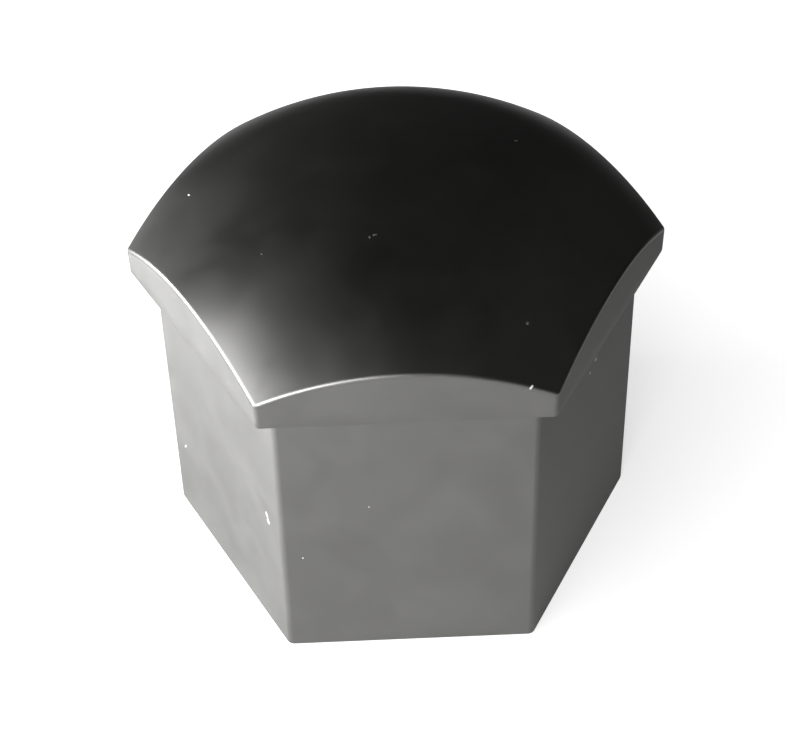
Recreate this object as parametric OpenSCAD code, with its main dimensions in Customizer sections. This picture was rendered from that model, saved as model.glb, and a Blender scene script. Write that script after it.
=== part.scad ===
// Cap for a hexagonal wheel bolt.
// One moulding: a domed six-sided head with an overhanging rim, and a drafted
// skirt around a six-sided socket that grips the bolt head. It stands on its
// open mouth, with the mouth centred on the origin and two corners on the X axis.

/* [Bolt head] */
// Width across flats of the bolt head that the cap covers
bolt_af = 17; // [13:0.5:22]
// Depth from the mouth to the webs that the bolt head stops against
bolt_depth = 13.5; // [10:0.5:18]

/* [Socket] */
// Room on each side of the bolt head at the inner end of the socket
socket_gap = 0.15; // [0.05:0.05:0.4]
// Radius inside the six corners of the socket
socket_corner_r = 0.6; // [0.3:0.1:1.2]
// Height of the wider lead-in at the mouth
lead_h = 1.2; // [0.6:0.1:2]
// How much the lead-in opens on each side
lead_w = 0.35; // [0.1:0.05:0.6]

/* [Grip ribs] */
// Width of each of the six ribs that grip the flats of the bolt head
rib_w = 1.2; // [0.8:0.1:2]
// How far each rib stands into the space of the bolt head
rib_bite = 0.05; // [0:0.01:0.15]
// Height of the ramp at the mouth end of each rib
rib_ramp = 1.6; // [0.8:0.1:3]

/* [Stop webs] */
// Thickness of each of the six webs that stop the bolt head
web_t = 1; // [0.6:0.1:2]
// How far each web reaches in from the wall of the socket
web_reach = 2.4; // [1:0.1:4]
// Bevel on the lower inner corner of each web
web_bevel = 0.4; // [0.1:0.1:0.8]

/* [Skirt] */
// Thickness of the skirt wall
wall = 1.4; // [1:0.1:2.5]
// Draft of the skirt and socket walls, which widen towards the mouth, in degrees
draft = 1.1; // [0.25:0.05:2]
// Radius of the six upright edges of the skirt
skirt_edge_r = 0.4; // [0.2:0.1:1]
// Height of the skirt above the stop webs, up to the underside of the rim
rim_above_stop = 2.05; // [1:0.05:4]

/* [Head] */
// How far the rim overhangs the skirt on each side
rim_overhang = 1; // [0.4:0.1:2]
// Height of the rim at its six corners
rim_h = 1.3; // [0.8:0.1:3]
// Height of the dome above the corners of the rim
crown_h = 5.05; // [3:0.05:8]
// Thickness of the domed top
top_wall = 1.6; // [1:0.1:2.5]
// Radius of the six upright edges of the rim
rim_edge_r = 0.3; // [0.2:0.05:0.8]
// Radius of the rolled edges between the dome and the six faces of the rim
dome_edge_r = 0.3; // [0.15:0.05:0.6]

/* [Hidden] */
$fn = 96;

// Cuts run this far past the surfaces that they open
over = 1;
// A rolled edge meets each face at this small angle, in degrees, so that it cuts cleanly
roll_slip = 6;
// From the distance across flats to the distance across corners
to_corner = 2 / sqrt(3);

// Half widths are measured from the axis to a flat
spread = tan(draft);
stop_z = bolt_depth;
rim_z = stop_z + rim_above_stop;
dome_foot_z = rim_z + rim_h;

socket_stop_d = bolt_af / 2 + socket_gap;
skirt_top_d = socket_stop_d + wall - rim_above_stop * spread;
rim_d = skirt_top_d + rim_overhang;

// The dome is a ball that passes through the six top corners of the rim
rim_corner_r = rim_d * to_corner;
dome_r = (pow(rim_corner_r, 2) + pow(crown_h, 2)) / (2 * crown_h);
dome_z = dome_foot_z + crown_h - dome_r;
top_z = dome_foot_z + crown_h;

// Half width of the socket and of the skirt at a height
function socket_d(z) = socket_stop_d + (stop_z - z) * spread;
function skirt_d(z) = socket_d(z) + wall;

// Six-sided solid from half width d0 at height z0 to half width d1 at height z1
module six_sided(d0, z0, d1, z1) {
    long = 3 * max(d0, d1);
    intersection_for (face = [30 : 60 : 150])
        rotate([90, 0, face])
            linear_extrude(long, center = true)
                polygon([[-d0, z0], [d0, z0], [d1, z1], [-d1, z1]]);
}

// Outline of what a rolled edge takes off the corner between two faces. The roll's
// centre is the origin, and the faces look towards the angles a0 and a1.
module roll_outline(r, a0, a1) {
    reach = 2 * r;
    out0 = reach * [cos(a0), sin(a0)];
    out1 = reach * [cos(a1), sin(a1)];
    difference() {
        polygon([[0, 0], out0, out0 + out1, out1]);
        circle(r);
    }
}

// The same solid with its six upright edges rolled to radius r
module rolled_six_sided(d0, z0, d1, z1, r) {
    rise = z1 - z0;
    slope = atan((d1 - d0) / rise);
    lean = atan((d1 - d0) * to_corner / rise);
    turn = acos((1 + pow(sin(slope), 2)) / 2);
    inset = r * cos(roll_slip) / cos(turn / 2);
    difference() {
        six_sided(d0, z0, d1, z1);
        for (corner = [0 : 60 : 300])
            rotate([0, 0, corner])
                translate([d0 * to_corner, 0, z0])
                    rotate([0, lean, 0])
                        translate([-inset, 0, -over])
                            linear_extrude(rise / cos(lean) + 2 * over)
                                roll_outline(r, -turn / 2, turn / 2);
    }
}

// What a rolled edge takes off between the dome and the face of the rim that looks
// along Y: part of a ring around the line through the dome's centre square to that face.
module dome_edge_roll() {
    inset = dome_edge_r * cos(roll_slip);
    along = rim_d - inset;
    around = sqrt(pow(dome_r - inset, 2) - pow(along, 2));
    half_turn = asin(rim_corner_r / 2 / around) + roll_slip;
    translate([0, 0, dome_z])
        rotate([-90, 0, 0])
            rotate([0, 0, -90 - half_turn])
                rotate_extrude(angle = 2 * half_turn)
                    translate([around, along])
                        roll_outline(dome_edge_r, atan2(along, around), 90);
}

// The head with a rolled edge over as many of its faces, taken one after another
module head(faces = 6) {
    if (faces == 0)
        sharp_head();
    else
        difference() {
            head(faces - 1);
            rotate([0, 0, 60 * faces])
                dome_edge_roll();
        }
}

module sharp_head() {
    intersection() {
        rolled_six_sided(rim_d, rim_z, rim_d, top_z + over, rim_edge_r);
        translate([0, 0, dome_z])
            sphere(dome_r);
    }
}

// The skirt runs on into the head, so that the two are one solid
module skirt() {
    end_z = rim_z + rim_h / 2;
    rolled_six_sided(skirt_d(0), 0, skirt_d(end_z), end_z, skirt_edge_r);
}

// A round rib with a pointed foot, half sunk in the wall of the socket
module grip_rib() {
    r = rib_w / 2;
    foot_z = lead_h;
    translate([0, bolt_af / 2 - rib_bite + r, 0])
        rotate_extrude()
            polygon([[0, foot_z], [r / 4, foot_z], [r, foot_z + rib_ramp], [r, stop_z], [0, stop_z]]);
}

// An upright plate that reaches in from the wall and up into the dome
module stop_web() {
    nose = socket_stop_d - web_reach;
    back = socket_stop_d + wall;
    rotate([90, 0, 90])
        linear_extrude(web_t, center = true)
            polygon([
                [nose, stop_z + web_bevel],
                [nose + web_bevel, stop_z],
                [back, stop_z],
                [back, top_z],
                [nose, top_z]
            ]);
}

// The mould's core: what the socket is as a solid
module socket_core() {
    difference() {
        union() {
            intersection() {
                rolled_six_sided(socket_d(0), 0, socket_d(top_z), top_z, socket_corner_r);
                translate([0, 0, dome_z])
                    sphere(dome_r - top_wall);
            }
            lead_in();
        }
        for (face = [0 : 60 : 300])
            rotate([0, 0, face]) {
                grip_rib();
                stop_web();
            }
    }
}

// The lead-in runs on below the mouth, so that it opens the skirt
module lead_in() {
    mouth_d = socket_d(0) + lead_w;
    steep = (mouth_d - socket_d(lead_h)) / lead_h;
    rolled_six_sided(mouth_d + over * steep, -over, socket_d(lead_h), lead_h, socket_corner_r);
}

module bolt_cap() {
    color([0.44, 0.44, 0.43])
        difference() {
            union() {
                skirt();
                head();
            }
            socket_core();
        }
}

bolt_cap();
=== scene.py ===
"""A moulded cap for the hexagonal head of a wheel bolt, standing on its open mouth."""
import math
import random

import bmesh
import bpy
from mathutils import Matrix, Vector
from mathutils.bvhtree import BVHTree


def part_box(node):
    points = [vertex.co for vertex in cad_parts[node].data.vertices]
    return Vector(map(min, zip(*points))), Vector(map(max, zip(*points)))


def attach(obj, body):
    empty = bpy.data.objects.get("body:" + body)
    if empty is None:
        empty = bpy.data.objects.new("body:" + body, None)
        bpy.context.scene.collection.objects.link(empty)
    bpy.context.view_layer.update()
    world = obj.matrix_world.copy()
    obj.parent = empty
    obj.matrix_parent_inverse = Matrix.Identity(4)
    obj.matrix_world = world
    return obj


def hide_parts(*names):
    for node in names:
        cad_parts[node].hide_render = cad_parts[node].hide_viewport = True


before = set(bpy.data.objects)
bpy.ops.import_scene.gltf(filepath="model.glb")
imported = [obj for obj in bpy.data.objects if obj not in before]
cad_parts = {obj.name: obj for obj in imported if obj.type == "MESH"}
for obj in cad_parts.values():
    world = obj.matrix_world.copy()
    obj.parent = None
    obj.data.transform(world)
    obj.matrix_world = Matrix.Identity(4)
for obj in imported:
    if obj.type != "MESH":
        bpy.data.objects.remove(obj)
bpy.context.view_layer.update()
scene = bpy.context.scene


# The camera.
# It stands about 84 mm in front of the cap and looks down on it at 40 degrees. It is turned
# a little to the right and rolled a little, as the camera of the photograph was.
MM = 0.001
PHOTO_WIDTH = 786
PHOTO_HEIGHT = 734
FOCAL_LENGTH_PX = 1533.75
OPTICAL_CENTRE_PX = (380.0, 300.0)
CAMERA_PLACE = Vector((-1.34, -57.061, 61.225)) * MM
LOOKS_DOWN = math.radians(40.126)
TURNED_RIGHT = math.radians(0.481)
ROLLED = math.radians(-2.013)

lens = bpy.data.cameras.new("camera")
lens.sensor_width = 36
lens.lens = FOCAL_LENGTH_PX * lens.sensor_width / PHOTO_WIDTH
lens.shift_x = (PHOTO_WIDTH / 2 - OPTICAL_CENTRE_PX[0]) / PHOTO_WIDTH
lens.shift_y = (OPTICAL_CENTRE_PX[1] - PHOTO_HEIGHT / 2) / PHOTO_WIDTH
lens.clip_start = 1 * MM
lens.clip_end = 20
camera = bpy.data.objects.new("camera", lens)
camera.matrix_world = (
    Matrix.Translation(CAMERA_PLACE)
    @ Matrix.Rotation(-TURNED_RIGHT, 4, "Z")
    @ Matrix.Rotation(math.pi / 2 - LOOKS_DOWN, 4, "X")
    @ Matrix.Rotation(ROLLED, 4, "Z")
)
scene.collection.objects.link(camera)
scene.camera = camera


# The outside of the cap.
# One injection moulding in grey plastic: a six-sided skirt with draft, a six-sided rim that
# overhangs it, and a dome that is part of a ball. Its polished dome meets the rim in a rolled edge.
low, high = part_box("bolt_cap")
TOP_Z = high.z
RIM_D = high.y
CROWN_HEIGHT = 5.05 * MM
RIM_HEIGHT = 1.3 * MM
RIM_OVERHANG = 1.0 * MM
RIM_EDGE_R = 0.3 * MM
DOME_EDGE_R = 0.3 * MM
SKIRT_EDGE_R = 0.4 * MM
DRAFT = math.tan(math.radians(1.1))
CRISP_R = 0.06 * MM
TO_CORNER = 2 / math.sqrt(3)

RIM_Z = TOP_Z - CROWN_HEIGHT - RIM_HEIGHT
SKIRT_TOP_D = RIM_D - RIM_OVERHANG
DOME_R = ((RIM_D * TO_CORNER) ** 2 + CROWN_HEIGHT**2) / (2 * CROWN_HEIGHT)
DOME_Z = TOP_Z - DOME_R
STEPS_PER_SIDE = 24
STEPS_PER_CORNER = 8

SATIN = 0
POLISHED = 1


def skirt_d(z):
    """Half the width across the flats of the skirt, at a height."""
    return SKIRT_TOP_D + (RIM_Z - z) * DRAFT


def six_sided_outline(d, corner_r):
    """The points of a rounded hexagon, each with the way that its side faces."""
    outline = []
    half_side = (d - corner_r) * math.tan(math.radians(30))
    for side in range(6):
        angle = math.radians(30 + 60 * side)
        out = Vector((math.cos(angle), math.sin(angle)))
        along = Vector((-out.y, out.x))
        for i in range(STEPS_PER_SIDE + 1):
            outline.append((out * d + along * half_side * (2 * i / STEPS_PER_SIDE - 1), out))
        corner = out * (d - corner_r) + along * half_side
        for i in range(1, STEPS_PER_CORNER):
            turned = angle + math.radians(60) * i / STEPS_PER_CORNER
            way = Vector((math.cos(turned), math.sin(turned)))
            outline.append((corner + way * corner_r, way))
    return outline


def level_ring(d, corner_r, z):
    return [Vector((point.x, point.y, z)) for point, way in six_sided_outline(d, corner_r)]


def rounded_edge(d, corner_r, z, turn_from, turn_to, r=CRISP_R):
    """Rings around a small rounded edge whose middle lies at half width d and height z."""
    rings = []
    for i in range(4):
        turn = math.radians(turn_from + (turn_to - turn_from) * i / 3)
        rings.append(level_ring(d + r * math.cos(turn), corner_r, z + r * math.sin(turn)))
    return rings


def ball_top(d, corner_r, ball_r, edge_r, foot_z):
    """Upright walls from foot_z, a rolled edge, and a ball: three lists of rings, and the top."""
    outline = six_sided_outline(d, corner_r)
    rolls = []
    for point, way in outline:
        inner = point - way * edge_r
        rise = math.sqrt((ball_r - edge_r) ** 2 - inner.length_squared)
        start = Vector((way.x, way.y, 0))
        end = Vector((inner.x, inner.y, rise)).normalized()
        rolls.append((Vector((inner.x, inner.y, DOME_Z + rise)), start, end))
    walls = []
    for t in (0.3, 0.6, 0.85, 1.0):
        ring = []
        for (point, way), (middle, start, end) in zip(outline, rolls):
            ring.append(Vector((point.x, point.y, foot_z + (middle.z - foot_z) * t)))
        walls.append(ring)
    edge = []
    for i in range(1, 9):
        edge.append([middle + start.slerp(end, i / 8) * edge_r for middle, start, end in rolls])
    ball = []
    for i in range(1, 30):
        shrink = 1 - (i / 30) ** 0.9
        ring = []
        for point in edge[-1]:
            x, y = point.x * shrink, point.y * shrink
            ring.append(Vector((x, y, DOME_Z + math.sqrt(ball_r**2 - x * x - y * y))))
        ball.append(ring)
    return walls, edge, ball, Vector((0, 0, DOME_Z + ball_r))


def skin(rings, finish):
    """Faces between one ring of points and the next."""
    rows = [[moulding.verts.new(point) for point in ring] for ring in rings]
    for row, next_row in zip(rows, rows[1:]):
        for i in range(len(row)):
            j = (i + 1) % len(row)
            moulding.faces.new((row[i], row[j], next_row[j], next_row[i])).material_index = finish


def close_ring(ring, middle, finish):
    """Faces between a ring and the point at its middle."""
    row = [moulding.verts.new(point) for point in ring]
    tip = moulding.verts.new(middle)
    for i in range(len(row)):
        moulding.faces.new((row[i], row[(i + 1) % len(row)], tip)).material_index = finish


moulding = bmesh.new()

skirt = rounded_edge(skirt_d(CRISP_R) - CRISP_R, SKIRT_EDGE_R, CRISP_R, -90, 0)
for i in range(1, 8):
    z = CRISP_R + (RIM_Z - CRISP_R) * i / 7
    skirt.append(level_ring(skirt_d(z), SKIRT_EDGE_R, z))
rim_foot = rounded_edge(RIM_D - CRISP_R, RIM_EDGE_R, RIM_Z + CRISP_R, -90, 0)
rim_sides, dome_edge, dome, dome_top = ball_top(RIM_D, RIM_EDGE_R, DOME_R, DOME_EDGE_R, RIM_Z + CRISP_R)
skin(skirt + rim_foot + rim_sides, SATIN)
skin([rim_sides[-1]] + dome_edge + dome, POLISHED)
close_ring(dome[-1], dome_top, POLISHED)


# The socket.
# The hollow that takes the head of the bolt, left by the core of the mould. It opens in a
# lead-in at the mouth, has the same draft as the skirt, and ends in a ceiling under the dome.
WALL = 1.4 * MM
TOP_WALL = 1.6 * MM
SOCKET_CORNER_R = 0.6 * MM
LEAD_HEIGHT = 1.2 * MM
LEAD_WIDTH = 0.35 * MM
STOP_Z = RIM_Z - 2.05 * MM


def socket_d(z):
    """Half the width across the flats of the socket, at a height."""
    return skirt_d(z) - WALL


mouth_d = socket_d(0) + LEAD_WIDTH
socket = [skirt[0]]
socket += rounded_edge(mouth_d + CRISP_R, SOCKET_CORNER_R, CRISP_R, 270, 180)
socket.append(level_ring(socket_d(LEAD_HEIGHT) + 0.02 * MM, SOCKET_CORNER_R, LEAD_HEIGHT - 0.07 * MM))
socket.append(level_ring(socket_d(LEAD_HEIGHT), SOCKET_CORNER_R, LEAD_HEIGHT))
socket.append(level_ring(socket_d(LEAD_HEIGHT + 0.1 * MM), SOCKET_CORNER_R, LEAD_HEIGHT + 0.1 * MM))
for i in range(1, 5):
    z = LEAD_HEIGHT + (STOP_Z - LEAD_HEIGHT) * i / 4
    socket.append(level_ring(socket_d(z), SOCKET_CORNER_R, z))
upper_walls, ceiling_edge, ceiling, ceiling_top = ball_top(
    socket_d(TOP_Z - CROWN_HEIGHT), SOCKET_CORNER_R, DOME_R - TOP_WALL, DOME_EDGE_R, STOP_Z
)
skin(socket + upper_walls + ceiling_edge + ceiling, SATIN)
close_ring(ceiling[-1], ceiling_top, SATIN)


# The grip ribs.
# Six round ribs, one down the middle of each side of the socket, moulded in one with it.
# They are half sunk in the wall, and their feet are pointed so that the bolt's head starts easily.
RIB_R = 0.6 * MM
RIB_D = 9.05 * MM
RIB_RAMP = 1.6 * MM
RIB_SEGMENTS = 28

for side in range(6):
    turned = Matrix.Rotation(math.radians(30 + 60 * side), 4, "Z")
    rings = []
    for r, z in (
        (RIB_R / 8, LEAD_HEIGHT - 0.05 * MM),
        (RIB_R / 4, LEAD_HEIGHT),
        (RIB_R * 0.96, LEAD_HEIGHT + RIB_RAMP * 0.95),
        (RIB_R, LEAD_HEIGHT + RIB_RAMP * 1.08),
        (RIB_R, STOP_Z - 0.05 * MM),
        (RIB_R - 0.05 * MM, STOP_Z),
        (RIB_R / 4, STOP_Z),
    ):
        ring = []
        for i in range(RIB_SEGMENTS):
            angle = math.tau * i / RIB_SEGMENTS
            ring.append(turned @ Vector((RIB_D + r * math.cos(angle), r * math.sin(angle), z)))
        rings.append(ring)
    skin(rings, SATIN)
    close_ring(rings[0], turned @ Vector((RIB_D, 0, LEAD_HEIGHT - 0.05 * MM)), SATIN)
    close_ring(rings[-1], turned @ Vector((RIB_D, 0, STOP_Z)), SATIN)


# The stop webs.
# Six upright plates over the ribs, which the head of the bolt comes to rest against.
# They reach in from the walls and up into the dome, and their lower inner corners are bevelled.
WEB_THICKNESS = 1.0 * MM
WEB_REACH = 2.4 * MM
WEB_BEVEL = 0.4 * MM
WEB_EDGE_R = 0.08 * MM

web_nose = socket_d(STOP_Z) - WEB_REACH
web_back = socket_d(STOP_Z) + WALL * 0.7
for side in range(6):
    turned = Matrix.Rotation(math.radians(30 + 60 * side), 4, "Z")
    profile = [(web_nose, STOP_Z + WEB_BEVEL), (web_nose + WEB_BEVEL, STOP_Z), (web_back, STOP_Z)]
    for i in range(5):
        reach = web_back + (web_nose - web_back) * i / 4
        profile.append((reach, DOME_Z + math.sqrt((DOME_R - TOP_WALL / 2) ** 2 - reach**2)))
    web = bmesh.new()
    cheeks = []
    for y in (-WEB_THICKNESS / 2, WEB_THICKNESS / 2):
        cheeks.append([web.verts.new(turned @ Vector((reach, y, z))) for reach, z in profile])
    web.faces.new(cheeks[0])
    web.faces.new(cheeks[1])
    for i in range(len(profile)):
        j = (i + 1) % len(profile)
        web.faces.new((cheeks[0][i], cheeks[0][j], cheeks[1][j], cheeks[1][i]))
    bmesh.ops.recalc_face_normals(web, faces=web.faces)
    bmesh.ops.bevel(
        web, geom=web.edges, offset=WEB_EDGE_R, segments=2, profile=0.5, affect="EDGES", clamp_overlap=True
    )
    web_mesh = bpy.data.meshes.new("web")
    web.to_mesh(web_mesh)
    web.free()
    moulding.from_mesh(web_mesh)
    bpy.data.meshes.remove(web_mesh)


# The plastic.
# Grey plastic with a metallic pigment. The dome comes from a polished part of the mould, and the
# skirt, rim and socket from a satin one, so that they share one grain but not one gloss.
def add(tree, kind, values=(), **settings):
    """A new node with some of its settings and some values of its inputs."""
    node = tree.nodes.new(kind)
    for name, value in settings.items():
        setattr(node, name, value)
    for name, value in dict(values).items():
        node.inputs[name].default_value = value
    return node


def new_group(name, inputs, outputs):
    """An empty node group with its sockets, and the nodes that carry them."""
    group = bpy.data.node_groups.new(name, "ShaderNodeTree")
    for socket_name, value in inputs.items():
        entry = group.interface.new_socket(socket_name, in_out="INPUT", socket_type="NodeSocketFloat")
        entry.default_value = value
    for socket_name in outputs:
        group.interface.new_socket(socket_name, in_out="OUTPUT", socket_type="NodeSocketFloat")
    return group, group.nodes.new("NodeGroupInput"), group.nodes.new("NodeGroupOutput")


# Skin of a moulding: a fine grain, the soft clouds in its gloss, and a slight unevenness of the surface
moulded_skin, given, made = new_group(
    "moulded_skin",
    {"Grain per mm": 9.0, "Cloud per mm": 0.35, "Grain depth": 0.3},
    ("Height", "Cloud", "Gloss"),
)
place = add(moulded_skin, "ShaderNodeTexCoord")
in_mm = add(moulded_skin, "ShaderNodeVectorMath", operation="SCALE")
in_mm.inputs["Scale"].default_value = 1 / MM
moulded_skin.links.new(place.outputs["Object"], in_mm.inputs[0])
grain = add(moulded_skin, "ShaderNodeTexNoise", {"Detail": 2.0, "Roughness": 0.55})
moulded_skin.links.new(in_mm.outputs[0], grain.inputs["Vector"])
moulded_skin.links.new(given.outputs["Grain per mm"], grain.inputs["Scale"])
cloud = add(moulded_skin, "ShaderNodeTexNoise", {"Detail": 3.0, "Roughness": 0.5, "Distortion": 0.6})
moulded_skin.links.new(in_mm.outputs[0], cloud.inputs["Vector"])
moulded_skin.links.new(given.outputs["Cloud per mm"], cloud.inputs["Scale"])
cloud_range = add(moulded_skin, "ShaderNodeMapRange", {"From Min": 0.3, "From Max": 0.7})
moulded_skin.links.new(cloud.outputs[0], cloud_range.inputs["Value"])
moulded_skin.links.new(cloud_range.outputs[0], made.inputs["Cloud"])
fine_gloss = add(moulded_skin, "ShaderNodeMath", operation="MULTIPLY_ADD")
fine_gloss.inputs[1].default_value = 0.25
moulded_skin.links.new(grain.outputs[0], fine_gloss.inputs[0])
moulded_skin.links.new(cloud_range.outputs[0], fine_gloss.inputs[2])
moulded_skin.links.new(fine_gloss.outputs[0], made.inputs["Gloss"])
height = add(moulded_skin, "ShaderNodeMath", operation="MULTIPLY_ADD")
moulded_skin.links.new(grain.outputs[0], height.inputs[0])
moulded_skin.links.new(given.outputs["Grain depth"], height.inputs[1])
moulded_skin.links.new(cloud.outputs[0], height.inputs[2])
moulded_skin.links.new(height.outputs[0], made.inputs["Height"])


def moulded_plastic(name, roughness, spread, grain_per_mm, grain_depth, bump):
    """The grey plastic, as it leaves a satin or a polished part of the mould."""
    material = bpy.data.materials.new(name)
    material.use_nodes = True
    tree = material.node_tree
    shader = tree.nodes["Principled BSDF"]
    shader.inputs["Metallic"].default_value = 1.0
    skin_of = add(tree, "ShaderNodeGroup", node_tree=moulded_skin)
    skin_of.inputs["Grain per mm"].default_value = grain_per_mm
    skin_of.inputs["Grain depth"].default_value = grain_depth
    colour = add(tree, "ShaderNodeMix", data_type="RGBA")
    colour.inputs[6].default_value = (0.200, 0.199, 0.194, 1)
    colour.inputs[7].default_value = (0.222, 0.221, 0.216, 1)
    tree.links.new(skin_of.outputs["Cloud"], colour.inputs[0])
    tree.links.new(colour.outputs[2], shader.inputs["Base Color"])
    gloss = add(tree, "ShaderNodeMapRange", {"To Min": roughness - spread, "To Max": roughness + spread})
    tree.links.new(skin_of.outputs["Gloss"], gloss.inputs["Value"])
    tree.links.new(gloss.outputs[0], shader.inputs["Roughness"])
    surface = add(tree, "ShaderNodeBump", {"Strength": 1.0, "Distance": bump})
    tree.links.new(skin_of.outputs["Height"], surface.inputs["Height"])
    tree.links.new(surface.outputs[0], shader.inputs["Normal"])
    return material


bmesh.ops.remove_doubles(moulding, verts=moulding.verts, dist=0.0001 * MM)
bmesh.ops.recalc_face_normals(moulding, faces=moulding.faces)
cap_mesh = bpy.data.meshes.new("cap")
moulding.to_mesh(cap_mesh)
cap_mesh.shade_smooth()
cap_mesh.set_sharp_from_angle(angle=math.radians(40))
satin = moulded_plastic(
    "cap_satin", roughness=0.58, spread=0.03, grain_per_mm=9.0, grain_depth=0.25, bump=0.0015 * MM
)
polished = moulded_plastic(
    "cap_polished", roughness=0.345, spread=0.02, grain_per_mm=7.0, grain_depth=0.08, bump=0.0012 * MM
)
cap_mesh.materials.append(satin)
cap_mesh.materials.append(polished)
cap = bpy.data.objects.new("cap", cap_mesh)
scene.collection.objects.link(cap)
flat_sides = cap.modifiers.new("flat_sides", "WEIGHTED_NORMAL")
flat_sides.weight = 50
flat_sides.keep_sharp = True
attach(cap, "root")
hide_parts("bolt_cap")


# The dust flecks.
# Pale bits of lint and dust that have settled on the cap. Each is a thin uneven flake lying
# flat on the plastic, at its place in the photograph. None stands out past the faces of the rim.
def fluff(name, dark, pale):
    """A dull material whose colour changes from one fibre to the next."""
    material = bpy.data.materials.new(name)
    material.use_nodes = True
    tree = material.node_tree
    shader = tree.nodes["Principled BSDF"]
    shader.inputs["Roughness"].default_value = 0.9
    shader.inputs["Specular IOR Level"].default_value = 0.2
    place = add(tree, "ShaderNodeTexCoord")
    fibres = add(tree, "ShaderNodeTexNoise", {"Scale": 20000.0, "Detail": 3.0})
    tree.links.new(place.outputs["Object"], fibres.inputs["Vector"])
    colour = add(tree, "ShaderNodeMix", data_type="RGBA")
    colour.inputs[6].default_value = (*dark, 1)
    colour.inputs[7].default_value = (*pale, 1)
    tree.links.new(fibres.outputs[0], colour.inputs[0])
    tree.links.new(colour.outputs[2], shader.inputs["Base Color"])
    return material


LINT = 0
GREY = 1
dust = bmesh.new()
surface_of_cap = BVHTree.FromBMesh(moulding)
moulding.free()
shapes = random.Random(7)


def fleck(at_px, length, width, lean, colour):
    """A flake on the cap where the camera sees that pixel, leaning that far from upright."""
    across = (at_px[0] - OPTICAL_CENTRE_PX[0]) / FOCAL_LENGTH_PX
    up = (OPTICAL_CENTRE_PX[1] - at_px[1]) / FOCAL_LENGTH_PX
    sight = (camera.matrix_world.to_3x3() @ Vector((across, up, -1))).normalized()
    spot, normal = surface_of_cap.ray_cast(CAMERA_PLACE, sight)[:2]
    view_up = camera.matrix_world.to_3x3() @ Vector((0, 1, 0))
    upright = (view_up - normal * view_up.dot(normal)).normalized()
    upright.rotate(Matrix.Rotation(math.radians(lean), 3, normal))
    sideways = upright.cross(normal)
    rings = []
    jitter = [shapes.uniform(0.75, 1.2) for i in range(12)]
    for size, lift in ((1.0, -0.1), (0.8, 0.25), (0.45, 0.4)):
        ring = []
        for i in range(12):
            angle = math.tau * i / 12
            reach = size * jitter[i]
            along = upright * math.cos(angle) * length / 2 * reach
            aside = sideways * math.sin(angle) * width / 2 * reach
            point = spot + along + aside + normal * lift * width / 2
            point.y = max(point.y, low.y)
            ring.append(dust.verts.new(point))
        rings.append(ring)
    for ring, next_ring in zip(rings, rings[1:]):
        for i in range(12):
            j = (i + 1) % 12
            dust.faces.new((ring[i], next_ring[i], next_ring[j], ring[j])).material_index = colour
    dust.faces.new(rings[-1]).material_index = colour


fleck(at_px=(267, 514.5), length=0.40 * MM, width=0.17 * MM, lean=-6, colour=LINT)
fleck(at_px=(268.6, 521), length=0.36 * MM, width=0.20 * MM, lean=-8, colour=LINT)
fleck(at_px=(186, 446), length=0.14 * MM, width=0.24 * MM, lean=20, colour=LINT)
fleck(at_px=(189, 195), length=0.05 * MM, width=0.18 * MM, lean=0, colour=LINT)
fleck(at_px=(262, 254), length=0.12 * MM, width=0.12 * MM, lean=0, colour=GREY)
fleck(at_px=(370, 237), length=0.16 * MM, width=0.12 * MM, lean=0, colour=GREY)
fleck(at_px=(375, 235), length=0.07 * MM, width=0.30 * MM, lean=20, colour=GREY)
fleck(at_px=(517, 141), length=0.08 * MM, width=0.30 * MM, lean=0, colour=GREY)
fleck(at_px=(528, 323), length=0.22 * MM, width=0.18 * MM, lean=-25, colour=GREY)
fleck(at_px=(531.5, 387.5), length=0.24 * MM, width=0.09 * MM, lean=-35, colour=LINT)
fleck(at_px=(596, 359), length=0.30 * MM, width=0.14 * MM, lean=-30, colour=LINT)
fleck(at_px=(590, 373), length=0.18 * MM, width=0.11 * MM, lean=0, colour=LINT)
fleck(at_px=(369, 507), length=0.08 * MM, width=0.08 * MM, lean=0, colour=LINT)
fleck(at_px=(303, 558), length=0.12 * MM, width=0.08 * MM, lean=0, colour=LINT)

dust_mesh = bpy.data.meshes.new("dust_flecks")
bmesh.ops.recalc_face_normals(dust, faces=dust.faces)
dust.to_mesh(dust_mesh)
dust.free()
dust_mesh.materials.append(fluff("lint", dark=(0.45, 0.44, 0.42), pale=(0.90, 0.89, 0.86)))
dust_mesh.materials.append(fluff("grey_dust", dark=(0.04, 0.04, 0.036), pale=(0.11, 0.11, 0.10)))
dust_mesh.shade_smooth()
dust_flecks = bpy.data.objects.new("dust_flecks", dust_mesh)
scene.collection.objects.link(dust_flecks)
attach(dust_flecks, "root")


# The floor.
# A wide sheet of white paper. Part of its white is its own, for what the camera and the gloss
# of the cap see, and the rest comes from the lamps, so that the cap's soft shadow stays.
# The gloss gets less of it, because the right-hand face of the cap is dark in the photograph.
FLOOR_REACH = 3.0
BELOW_THE_MOUTH = 0.01 * MM
WHITE_SEEN = 0.72
WHITE_MIRRORED = 0.18
SHADOW_FROM = 13 * MM
SHADOW_TO = 45 * MM


def mirror_rays(tree, path):
    """One for the rays that gloss or glass sends out, and nought for the others."""
    either = add(tree, "ShaderNodeMath", operation="MAXIMUM")
    tree.links.new(path.outputs["Is Glossy Ray"], either.inputs[0])
    tree.links.new(path.outputs["Is Transmission Ray"], either.inputs[1])
    return either.outputs[0]


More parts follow.
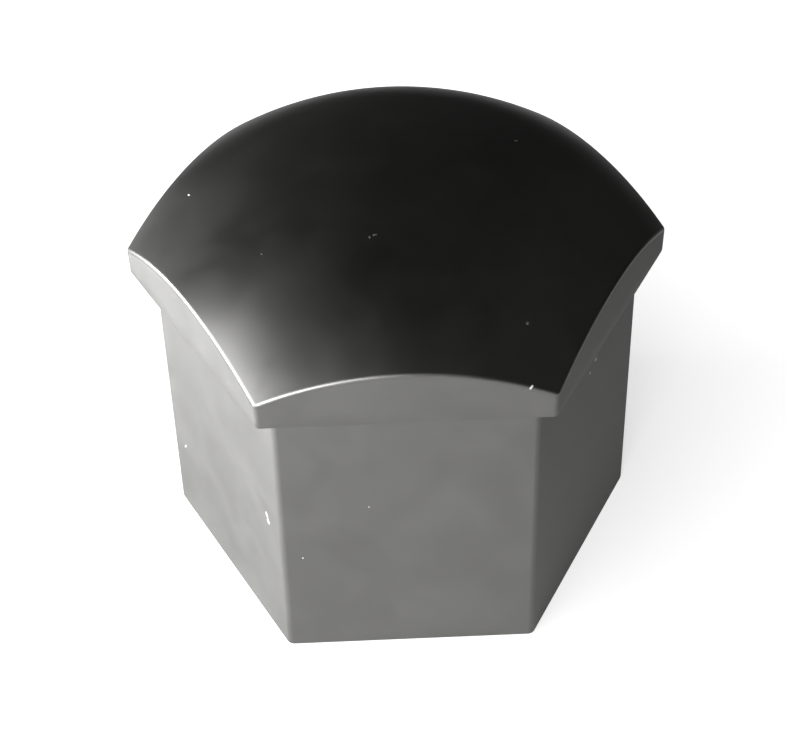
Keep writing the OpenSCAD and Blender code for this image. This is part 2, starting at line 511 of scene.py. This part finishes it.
paper = bpy.data.materials.new("white_paper")
paper.use_nodes = True
tree = paper.node_tree
sheet = tree.nodes["Principled BSDF"]
sheet.inputs["Base Color"].default_value = (0.8, 0.8, 0.8, 1)
sheet.inputs["Roughness"].default_value = 0.9
sheet.inputs["Specular IOR Level"].default_value = 0
sheet.inputs["Emission Color"].default_value = (1, 1, 1, 1)
path = add(tree, "ShaderNodeLightPath")
mirrored = add(tree, "ShaderNodeMath", operation="MULTIPLY")
mirrored.inputs[1].default_value = WHITE_MIRRORED
tree.links.new(mirror_rays(tree, path), mirrored.inputs[0])
# Going out from the cap, the paper's own white that the camera sees rises to full white, a painted light
# that fades the cap's shadow out and keeps the paper white where the lamps light it less
place = add(tree, "ShaderNodeTexCoord")
distance = add(tree, "ShaderNodeVectorMath", operation="LENGTH")
tree.links.new(place.outputs["Object"], distance.inputs[0])
outwards = add(tree, "ShaderNodeMapRange", {"From Min": SHADOW_FROM, "From Max": SHADOW_TO})
outwards.inputs["To Min"].default_value = WHITE_SEEN
outwards.inputs["To Max"].default_value = 1
tree.links.new(distance.outputs["Value"], outwards.inputs["Value"])
own_white = add(tree, "ShaderNodeMath", operation="MULTIPLY_ADD")
tree.links.new(path.outputs["Is Camera Ray"], own_white.inputs[0])
tree.links.new(outwards.outputs[0], own_white.inputs[1])
tree.links.new(mirrored.outputs[0], own_white.inputs[2])
tree.links.new(own_white.outputs[0], sheet.inputs["Emission Strength"])

floor_mesh = bpy.data.meshes.new("floor")
corners = ((-1, -1), (1, -1), (1, 1), (-1, 1))
floor_mesh.from_pydata([(x * FLOOR_REACH, y * FLOOR_REACH, 0) for x, y in corners], [], [range(4)])
floor_mesh.materials.append(paper)
floor = bpy.data.objects.new("floor", floor_mesh)
floor.location.z = -BELOW_THE_MOUTH
scene.collection.objects.link(floor)


# The dark room.
# The room over the paper is black cloth, and two black cards keep the far paper out of the
# cap's gloss, at the back and at the right. The camera sees white in their place.
black_cloth = bpy.data.materials.new("black_cloth")
black_cloth.use_nodes = True
cloth = black_cloth.node_tree.nodes["Principled BSDF"]
cloth.inputs["Base Color"].default_value = (0.02, 0.02, 0.02, 1)
cloth.inputs["Roughness"].default_value = 1
cloth.inputs["Specular IOR Level"].default_value = 0

canopy_mesh = bpy.data.meshes.new("canopy")
canopy_shape = bmesh.new()
bmesh.ops.create_uvsphere(canopy_shape, u_segments=32, v_segments=16, radius=2.0)
below = [vert for vert in canopy_shape.verts if vert.co.z < -0.01]
bmesh.ops.delete(canopy_shape, geom=below, context="VERTS")
canopy_shape.to_mesh(canopy_mesh)
canopy_shape.free()
canopy_mesh.materials.append(black_cloth)
canopy = bpy.data.objects.new("canopy", canopy_mesh)
scene.collection.objects.link(canopy)
canopy.visible_camera = False


def black_card(name, start, end, height):
    """An upright card between two places on the floor, which only the cap's gloss sees."""
    x0, y0 = start
    x1, y1 = end
    mesh = bpy.data.meshes.new(name)
    mesh.from_pydata([(x0, y0, 0), (x1, y1, 0), (x1, y1, height), (x0, y0, height)], [], [range(4)])
    mesh.materials.append(black_cloth)
    card = bpy.data.objects.new(name, mesh)
    scene.collection.objects.link(card)
    card.visible_camera = False
    card.visible_diffuse = False
    card.visible_shadow = False


black_card("back_card", start=(-0.05, 0.07), end=(0.4, 0.07), height=0.3)
black_card("right_card", start=(0.045, -0.05), end=(0.045, 0.07), height=0.2)

room = bpy.data.worlds.new("room")
room.use_nodes = True
scene.world = room
tree = room.node_tree
background = tree.nodes["Background"]
background.inputs["Color"].default_value = (1, 1, 1, 1)
path = add(tree, "ShaderNodeLightPath")
seen = add(tree, "ShaderNodeMath", operation="MAXIMUM")
tree.links.new(path.outputs["Is Camera Ray"], seen.inputs[0])
tree.links.new(mirror_rays(tree, path), seen.inputs[1])
tree.links.new(seen.outputs[0], background.inputs["Strength"])


# The lamps.
# Soft light from the left: a window, a low lamp in front of it, a bright strip close to the
# paper that lights the left-hand faces, and a weak one behind.
def panel_lamp(name, at, facing, size, brightness):
    """A flat lamp whose face is that many times as bright as white paper."""
    light = bpy.data.lights.new(name, "AREA")
    light.shape = "RECTANGLE"
    light.size, light.size_y = size
    light.energy = brightness * math.pi * light.size * light.size_y
    lamp = bpy.data.objects.new(name, light)
    turn = Vector(facing).to_track_quat("-Z", "Y").to_matrix().to_4x4()
    lamp.matrix_world = Matrix.Translation(at) @ turn
    lamp.visible_camera = False
    scene.collection.objects.link(lamp)


panel_lamp("window", at=(-0.35, -0.12, 0.18), facing=(1, 0, 0), size=(0.34, 0.35), brightness=3.75)
panel_lamp("low_front", at=(-0.22, -0.36, 0.13), facing=(0.5, 0.8, -0.3), size=(0.30, 0.15), brightness=13.9)
panel_lamp("low_left", at=(-0.09, -0.01, 0.0115), facing=(1, 0, 0), size=(0.09, 0.017), brightness=31)
panel_lamp("back_left", at=(-0.2, 0.2, 0.09), facing=(0.7, -0.7, 0), size=(0.25, 0.18), brightness=0.25)

scene.view_settings.view_transform = "Standard"
